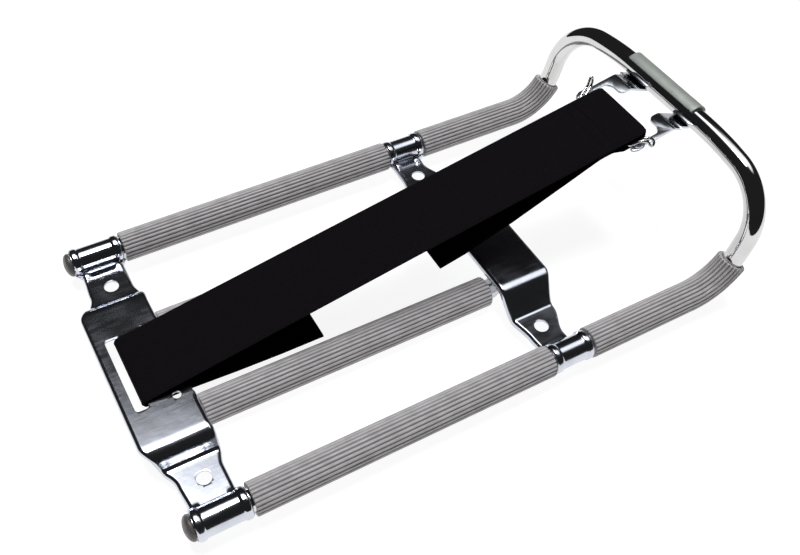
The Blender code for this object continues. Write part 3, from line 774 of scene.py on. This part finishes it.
def remove(*objects):
    for obj in objects:
        bpy.data.objects.remove(obj, do_unlink=True)


def circle(x, y, radius, sides=64):
    return [(x + u, y + v) for u, v in round_outline(radius, sides)]


def rear_bracket(material):
    rows = bracket_rows(REAR_TOP_Z, crease_y=58.5, shoulder_y=52.0)
    front = [(44.0, -91.6), (56.0, -90.8), (68.0, -93.6), (84.0, -93.6)]
    rear = [(45.0, REAR_EDGE_X), (69.0, -118.4), (84.0, -117.4)]
    holes = []
    for side in (1, -1):
        holes.append(circle(REAR_BOLT_X, side * BOLT_HOLE_Y, BOLT_HOLE_RADIUS))
    for side in (1, -1):
        holes.append(circle(PILOT_HOLE_X, side * PILOT_HOLE_Y, PILOT_HOLE_RADIUS, 32))
    slot = rounded([
        (SLOT_X[0], -SLOT_HALF, SLOT_CORNER),
        (SLOT_X[1], -SLOT_HALF, SLOT_CORNER),
        (SLOT_X[1], SLOT_HALF, SLOT_CORNER),
        (SLOT_X[0], SLOT_HALF, SLOT_CORNER),
    ], closed=True)
    cutters = prism_object("rear_holes", holes + [slot], 60)

    def roll(sign, y):
        # the front rim stays flat where the strap passes under it
        return 1.0 if sign < 0 else smooth_step(abs(y), 27.0, 33.0)

    bracket("rear_bracket", rows, front, rear, REAR_CURL_X, roll, cutters, material)
    remove(cutters)


def middle_bracket(material):
    rows = bracket_rows(MIDDLE_TOP_Z, crease_y=60.0, shoulder_y=46.5)
    front = [(42.0, 125.0), (62.0, 119.6), (80.0, 113.6), (85.0, 114.0)]
    rear = [(55.0, 91.3), (76.0, 94.4), (85.0, 95.0)]
    holes = [circle(MIDDLE_BOLT_X, side * BOLT_HOLE_Y, BOLT_HOLE_RADIUS) for side in (1, -1)]
    cutters = prism_object("middle_holes", holes, 60)

    def roll(sign, y):
        return 1.0

    bracket("middle_bracket", rows, front, rear, MIDDLE_CURL_X, roll, cutters, material)
    remove(cutters)


# ---------------------------------------------------------------- end caps

def end_caps(plastic):
    """Domed plugs, turned about the rail's axis, with a small moulding pip and a rim step."""
    sides = 64
    dome_steps = 18
    for side, word in ((1, "left"), (-1, "right")):
        name = "end_cap_" + word
        tip = (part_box(name)[0].x - BASE.x) / MM
        # (radius, x) from the pip at the tip, over the dome and its rim, to the end of the stem
        profile = [(0.9, tip + 0.27), (1.2, tip + 0.05)]
        for i in range(1, dome_steps + 1):
            angle = math.pi / 2 * (i + 1.6) / (dome_steps + 1.6)
            depth = (CAP_FLANGE_X - 0.9 - tip) * (1 - math.cos(angle))
            profile.append((CAP_RADIUS * math.sin(angle), tip + depth))
        profile += [
            (CAP_RADIUS, CAP_FLANGE_X - 0.6),
            (CAP_RIM_RADIUS, CAP_FLANGE_X),
            (CAP_STEM_RADIUS, CAP_FLANGE_X),
            (CAP_STEM_RADIUS, CAP_STEM_X),
            (CAP_STEM_RADIUS - 0.85, CAP_STEM_X + CAP_STEM_EASE),
        ]
        vertices = []
        for radius, x in profile:
            for u, v in round_outline(radius, sides):
                vertices.append(at(x, side * RAIL_Y + u, v))
        faces = swept_faces(len(profile), sides) + end_faces(len(profile), sides)
        new_piece(name + "_dome", vertices, faces, plastic, "rack", [name], 35)


# ---------------------------------------------------------------- fork

def thick_line(points, thickness):
    normals = line_normals(points)
    left = [tuple(Vector(p) + n * thickness / 2) for p, n in zip(points, normals)]
    right = [tuple(Vector(p) - n * thickness / 2) for p, n in zip(points, normals)]
    return left + right[::-1]


def fork_height(x):
    return FORK_CREASE_Z + FORK_SLOPE * (x - FORK_CREASE_X)


SIDE_ON = (math.pi / 2, 0.0, 0.0)   # turns an outline so that it is drawn in x and z


def strap_plate(material):
    """The fork: a side profile made thick, trimmed to its plan outline, with its window cut."""
    axis = cross_middle()
    first, last, step = (math.radians(a) for a in (129.0, -113.3, 4.0))
    line = arc((axis.x, axis.z), CURL_MIDDLE, first, last, step)
    line += rounded([
        line[-1] + (0.0,),
        (FORK_CREASE_X, FORK_CREASE_Z, 5.0),
        (180.0, fork_height(180.0), 0.0),
    ])[1:]
    plate = prism_object("strap_plate_fork", [thick_line(line, SHEET)], 70, SIDE_ON, (0.0, FORK_Y, 0.0))
    front = axis.x + CURL_OUTER + 2
    arm_front = axis.x - CURL_OUTER - 1.5
    window_front = axis.x - 11
    plan = []
    for side in (1, -1):
        curl_half = FORK_CURL_HALF + side * (FORK_CURL_Y - FORK_Y)
        half = rounded([
            (front, 0.5, 0.0),
            (front, curl_half, 0.0),
            (arm_front, curl_half, 0.8),
            (arm_front - 1.0, FORK_HALF, 0.8),
            (200.5, FORK_HALF, 1.2),
            (199.5, FORK_HALF - 0.5, 1.0),
            (197.6, FORK_HALF - 0.5, 0.8),
            (195.8, FORK_HALF + 0.9, 1.0),
            (192.0, FORK_HALF + 0.9, 1.5),
            (188.5, FORK_HALF - 0.8, 1.5),
            (188.5, PRONG_INNER, 0.8),
            (208.5, PRONG_INNER, 3.0),
            (211.2, 21.0, 3.0),
            (211.2, FORK_WINDOW_HALF, 3.5),
            (window_front, FORK_WINDOW_HALF, 1.0),
            (window_front, 0.5, 0.0),
        ])
        half = [(x, FORK_Y + side * y) for x, y in half]
        plan += half if side > 0 else half[::-1]
    trim = prism_object("fork_plan", [plan], 200)
    window_section = [
        (window_front - 1, axis.z + 10),
        (axis.x - 1, axis.z),
        (axis.x - 1, axis.z - 20),
        (window_front - 1, axis.z - 20),
    ]
    window = prism_object(
        "fork_window", [window_section], 2 * FORK_WINDOW_HALF, SIDE_ON, (0.0, FORK_Y, 0.0),
    )
    for tool, operation in ((trim, "INTERSECT"), (window, "DIFFERENCE")):
        cut = plate.modifiers.new(operation.title(), "BOOLEAN")
        cut.operation = operation
        cut.object = tool
    ease = plate.modifiers.new("Edges", "BEVEL")
    ease.width = 0.35 * MM
    ease.segments = 3
    ease.limit_method = "ANGLE"
    ease.angle_limit = math.radians(40.0)
    plate.data.materials.append(material)
    dress(plate, "rack", ["strap_plate"])
    finished(plate, 35.0)
    remove(trim, window)


# ---------------------------------------------------------------- strap

def strap_height(x):
    return HINGE_Z + STRAP_SLOPE * (x - HINGE_X)


def strap_line():
    """The whole strap's middle line: rear tail, round the slot's web, top run, fold, front tail."""
    corners = [
        (-12.8, 1.6, 0.0),
        (-40.0, 1.6, 60.0),
        (-66.0, 2.5, 60.0),
        (-92.0, 4.1, 30.0),
        (-117.5, 3.9, 3.0),
        (-117.5, strap_height(-117.5), 2.4),
        (-100.0, strap_height(-100.0), 0.0),
        (FOLD_X, strap_height(FOLD_X), 1.9),
        (FOLD_X - 0.8, strap_height(FOLD_X) - 5.6, 2.4),
        (HOOK_X - 4, 60.8, 5.0),
        (177.0, strap_height(177.0) - 2.0, 8.0),
        (168.0, strap_height(168.0) - 2.0, 20.0),
        (150.0, 53.3, 60.0),
        (110.0, 36.0, 60.0),
        (79.0, 24.4, 40.0),
        (62.5, 20.2, 0.0),
    ]
    return resampled(rounded(corners), 2.0)


def strap(webbing):
    """One length of webbing."""
    line = strap_line()
    normals = line_normals(line)
    length = 0.0
    lengths = [0.0]
    for first, second in zip(line, line[1:]):
        length += (Vector(second) - Vector(first)).length
        lengths.append(length)
    # outline across the webbing: slightly thicker selvedges and rounded sides
    half = STRAP_WIDTH / 2
    across = 36
    outline = []
    for i in range(across + 1):
        y = -half + STRAP_WIDTH * i / across
        edge = half - abs(y)
        swell = 0.1 * smooth_step(edge, 2.2, 1.2)
        drop = 0.8 * (1 - math.sqrt(max(0.0, 1 - (1 - min(edge / 0.8, 1.0)) ** 2)))
        outline.append((y, STRAP_THICK / 2 - drop + swell - 0.04))
    section = outline + [(y, -h) for y, h in reversed(outline[1:-1])]
    size = len(section)
    vertices = []
    fold_run = lengths[max(range(len(line)), key=lambda i: line[i][0])]
    for (x, z), normal, run in zip(line, normals, lengths):
        # pulled in a little at the fold's corners, more on the right, where the hook bears
        pulled = math.exp(-(((run - fold_run) / FOLD_PULL_LENGTH) ** 2))
        for y, h in section:
            share = smooth_step(abs(y), 0.7 * half, half)
            inset = (FOLD_PULL_RIGHT if y < 0 else FOLD_PULL_LEFT) * pulled * share
            vertices.append(at(
                x + normal.x * h - inset * 0.4, STRAP_Y + y - math.copysign(inset, y), z + normal.y * h,
            ))
    faces = swept_faces(len(line), size) + end_faces(len(line), size)
    obj = new_piece("strap_webbing", vertices, faces, webbing, None, [], 60)
    layer = obj.data.uv_layers.new(name="strap_mm")
    for loop in obj.data.loops:
        ring, k = divmod(loop.vertex_index, size)
        layer.data[loop.index].uv = (section[k][0], lengths[ring])
    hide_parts("strap_band", "strap_rear_loop")
    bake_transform(obj)


STITCH_ROWS_X = (173.5, 180.5)
STITCHES = 17
STITCH_MARGIN = 3.0
STITCH_SHARE = 0.82               # of the pitch that the thread covers
THREAD_RADIUS = 0.16


def stitching(thread):
    """Two rows of stitches that close the front fold behind the hook, each a small thread arch."""
    vertices = []
    faces = []
    slope = Vector((1.0, 0.0, STRAP_SLOPE)).normalized()
    up = Vector((-STRAP_SLOPE, 0.0, 1.0)).normalized()
    sides = 6
    steps = 6
    pitch = (STRAP_WIDTH - 2 * STITCH_MARGIN) / STITCHES
    for x in STITCH_ROWS_X:
        for i in range(STITCHES):
            start_y = STRAP_Y - STRAP_WIDTH / 2 + STITCH_MARGIN + pitch * i
            base = len(vertices)
            for s in range(steps + 1):
                share = s / steps
                lift = 0.72 + 0.28 * math.sin(math.pi * share)
                centre = at(x, start_y + pitch * STITCH_SHARE * share, strap_height(x)) + up * lift * MM
                for k in range(sides):
                    angle = math.tau * k / sides
                    around = slope * math.cos(angle) + up * math.sin(angle)
                    vertices.append(centre + around * THREAD_RADIUS * MM)
            faces += swept_faces(steps + 1, sides, offset=base, flip=True)
            faces += end_faces(steps + 1, sides, offset=base, flip=True)
    new_piece("strap_stitching", vertices, faces, thread, "strap")


def strap_hook(chrome):
    """A closed hairpin of wire through the fold; one eye hooks over its prong, the other stands up."""
    low = strap_height(HOOK_X) - HOOK_DEPTH
    tilt = STRAP_SLOPE * 0.6
    rear_strand = ((-HOOK_STRAND, 16.0, 0.0), (-HOOK_STRAND, 20.5, 0.0))
    front_strand = ((HOOK_STRAND, 20.5, 0.0), (HOOK_STRAND, 16.0, 0.0))
    # places given one by one, each ahead of the hook's line, out from the fork's middle, and up
    hooked = rear_strand + (
        (-1.2, 24.2, 0.4), (3.6, 27.8, 3.5), (7.2, 29.9, 2.9), (8.4, 31.2, 0.85),
        (9.9, 31.5, -0.15), (11.2, 31.2, 0.95), (10.9, 29.8, 2.75), (7.6, 27.6, 4.0),
        (2.2, 24.7, 0.7),
    ) + front_strand
    upright = rear_strand + (
        (-1.2, 23.6, 0.4), (2.6, 26.4, 2.2), (6.4, 28.0, 3.8), (7.1, 28.3, 7.2),
        (8.35, 28.4, 9.0), (9.6, 28.3, 7.2), (9.3, 27.8, 3.6), (5.6, 25.6, 1.7),
        (2.2, 23.6, 0.5),
    ) + front_strand
    loop = []
    for side, eye in ((1, upright), (-1, hooked)):
        points = [
            at(HOOK_X + ahead, FORK_Y + side * out, low + rise + tilt * ahead) for ahead, out, rise in eye
        ]
        loop += points if side > 0 else points[::-1]
    curve = bpy.data.curves.new("strap_hook_wire", "CURVE")
    curve.dimensions = "3D"
    curve.bevel_depth = HOOK_WIRE_RADIUS * MM
    curve.bevel_resolution = 6
    curve.resolution_u = 10
    spline = curve.splines.new("BEZIER")
    spline.bezier_points.add(len(loop) - 1)
    for point, place in zip(spline.bezier_points, loop):
        point.co = place
        point.handle_left_type = "AUTO"
        point.handle_right_type = "AUTO"
    spline.use_cyclic_u = True
    guide = bpy.data.objects.new("hook_guide", curve)
    bpy.context.scene.collection.objects.link(guide)
    bpy.context.view_layer.update()
    mesh = bpy.data.meshes.new_from_object(guide.evaluated_get(bpy.context.evaluated_depsgraph_get()))
    remove(guide)
    mesh.materials.clear()
    mesh.materials.append(chrome)
    mesh.shade_smooth()
    obj = bpy.data.objects.new("strap_hook_wire", mesh)
    bpy.context.scene.collection.objects.link(obj)
    dress(obj, "hook", ["strap_hook"])


# ---------------------------------------------------------------- stage, lights, camera

FLOOR_NEAR = -0.42                # metres, on both axes
FLOOR_FAR = 0.9
FLOOR_Z = -0.0002                 # just under the part


def floor():
    """A pale ground that is mostly its own light, so that hardly any shadow falls on it."""
    mesh = bpy.data.meshes.new("floor")
    near, far = FLOOR_NEAR, FLOOR_FAR
    corners = [(near, near, 0), (far, near, 0), (far, far, 0), (near, far, 0)]
    mesh.from_pydata(corners, [], [(0, 1, 2, 3)])
    obj = bpy.data.objects.new("floor", mesh)
    bpy.context.scene.collection.objects.link(obj)
    obj.location.z = FLOOR_Z
    made = Shader("pale_table", (0.24, 0.24, 0.24), 0.7)
    made.main.inputs["Specular IOR Level"].default_value = 0.2
    made.main.inputs["Emission Color"].default_value = (1.0, 1.0, 1.0, 1.0)
    made.main.inputs["Emission Strength"].default_value = 0.9
    grain = made.ranged(made.noise(220.0, 5.0), 0.3, 0.7, 0.0, 1.0)
    made.colour(made.mixed(grain, (0.25, 0.25, 0.25), (0.23, 0.23, 0.23)))
    mesh.materials.append(made.material)


# Soft panels overhead: towards, cosine where it starts, cosine where it is full, strength
PANELS = (
    ((0.00, 0.30, 0.95), 0.948, 0.975, 1.05),
    ((0.00, 0.33, 0.94), 0.978, 0.990, 2.0),
    ((0.02, 0.12, 0.99), 0.975, 0.990, 18.5),
    ((0.42, 0.05, 0.90), 0.930, 0.995, 1.6),
)
ROOM_STRENGTH = 0.018
BACKDROP_STRENGTH = 1.05


def world():
    """A dim room with soft panels of light, placed by direction."""
    made = bpy.data.worlds.new("studio")
    bpy.context.scene.world = made
    made.use_nodes = True
    tree = made.node_tree
    background = tree.nodes["Background"]
    direction = tree.nodes.new("ShaderNodeTexCoord").outputs["Generated"]

    def panel(towards, start, full, strength):
        dot = tree.nodes.new("ShaderNodeVectorMath")
        dot.operation = "DOT_PRODUCT"
        tree.links.new(direction, dot.inputs[0])
        dot.inputs[1].default_value = Vector(towards).normalized()
        ramp = tree.nodes.new("ShaderNodeMapRange")
        ramp.interpolation_type = "SMOOTHSTEP"
        ramp.inputs["From Min"].default_value = start
        ramp.inputs["From Max"].default_value = full
        ramp.inputs["To Max"].default_value = strength
        tree.links.new(dot.outputs["Value"], ramp.inputs["Value"])
        return ramp.outputs["Result"]

    def added(first, second):
        node = tree.nodes.new("ShaderNodeMath")
        node.operation = "ADD"
        tree.links.new(first, node.inputs[0])
        if isinstance(second, float):
            node.inputs[1].default_value = second
        else:
            tree.links.new(second, node.inputs[1])
        return node.outputs["Value"]

    total = panel(*PANELS[0])
    for values in PANELS[1:]:
        total = added(total, panel(*values))
    tree.links.new(added(total, ROOM_STRENGTH), background.inputs["Strength"])
    background.inputs["Color"].default_value = (0.97, 0.985, 1.0, 1.0)
    # looked at directly, the room is a plain white backdrop that runs on from the floor
    backdrop = tree.nodes.new("ShaderNodeBackground")
    seen = tree.nodes.new("ShaderNodeLightPath").outputs["Is Camera Ray"]
    choose = tree.nodes.new("ShaderNodeMixShader")
    tree.links.new(seen, choose.inputs[0])
    tree.links.new(background.outputs[0], choose.inputs[1])
    tree.links.new(backdrop.outputs[0], choose.inputs[2])
    backdrop.inputs["Color"].default_value = (1.0, 1.0, 1.0, 1.0)
    backdrop.inputs["Strength"].default_value = BACKDROP_STRENGTH
    tree.links.new(choose.outputs[0], tree.nodes["World Output"].inputs["Surface"])


def camera():
    data = bpy.data.cameras.new("camera")
    data.lens = 42.99
    data.sensor_width = 36.0
    data.clip_start = 0.01
    data.clip_end = 20.0
    obj = bpy.data.objects.new("camera", data)
    bpy.context.scene.collection.objects.link(obj)
    obj.location = at(-154.888, -317.094, 433.550)
    obj.rotation_euler = [math.radians(a) for a in (40.6934, -2.7350, -29.6697)]
    bpy.context.scene.camera = obj


def main():
    bpy.context.scene.view_settings.view_transform = "Standard"
    chrome = chrome_material(
        "polished_chrome", colour=(0.66, 0.655, 0.65), dull=(0.56, 0.56, 0.57),
        low=0.03, high=0.09, pits=0.12, wave=0.08,
    )
    pressed = chrome_material(
        "pressed_chrome_plate", colour=(0.62, 0.64, 0.70), dull=(0.5, 0.52, 0.58),
        low=0.09, high=0.20, pits=0.2, wave=0.07,
    )
    grip = grip_material()
    plastic = cap_material()
    webbing = webbing_material()
    thread = thread_material()

    camera()
    world()
    floor()
    frame_tube(chrome)
    sleeves(grip)
    inner_bars(chrome)
    rear_bracket(pressed)
    middle_bracket(pressed)
    end_caps(plastic)
    strap_plate(fork_material())
    strap_hook(chrome)
    strap(webbing)
    stitching(thread)


main()
